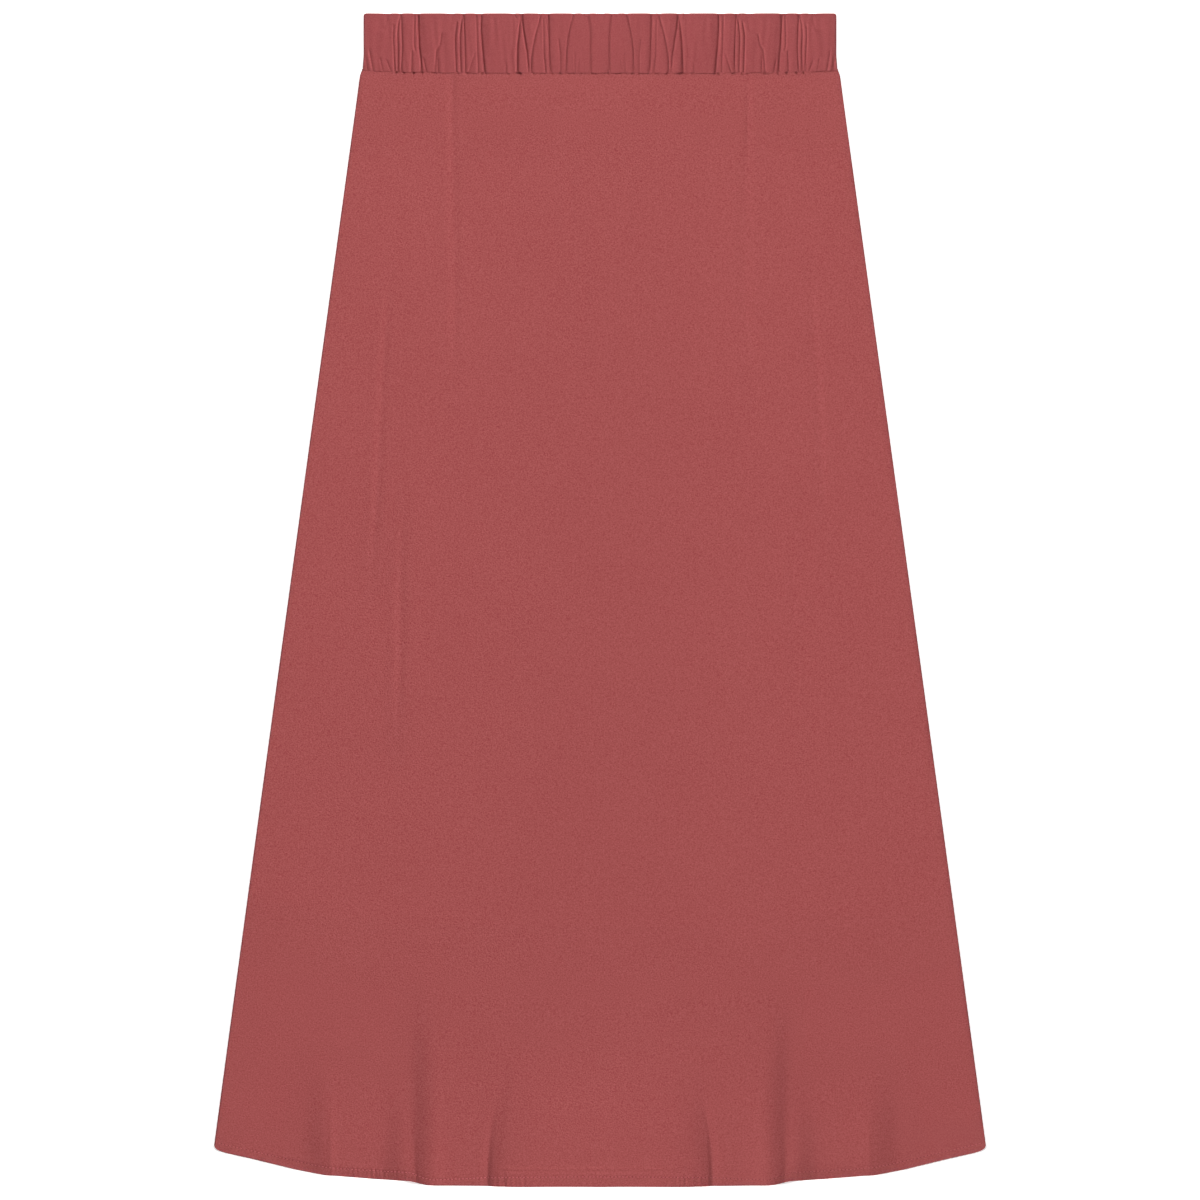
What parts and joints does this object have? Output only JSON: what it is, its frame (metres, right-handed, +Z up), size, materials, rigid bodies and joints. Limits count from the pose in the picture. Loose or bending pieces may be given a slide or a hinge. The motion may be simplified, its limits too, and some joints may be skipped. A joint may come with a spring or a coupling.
{
  "type": "flared midi skirt",
  "caption": "Pull-on A-line midi skirt laid flat, with a gathered elastic waistband, two smooth panels and a softly fluted, topstitched hem.",
  "frame": {"origin": "middle of the flat underside, on the surface that the skirt lies on", "axes": "+Y towards the waist, -Y towards the hem, +Z up out of the front, +X to the right of the picture"},
  "size_m": [0.5268, 0.8, 0.0103],
  "materials": {
    "crepe_cloth": "matte crepe with a fine even grain, dusty brick rose",
    "waistband_cloth": "smoother cloth of the same colour with a low sheen, gathered over elastic"
  },
  "bodies": {
    "root": {"front_panel": "crepe_cloth", "back_panel": "crepe_cloth", "waistband_front": "waistband_cloth", "waistband_back": "waistband_cloth"}
  },
  "joints": []
}
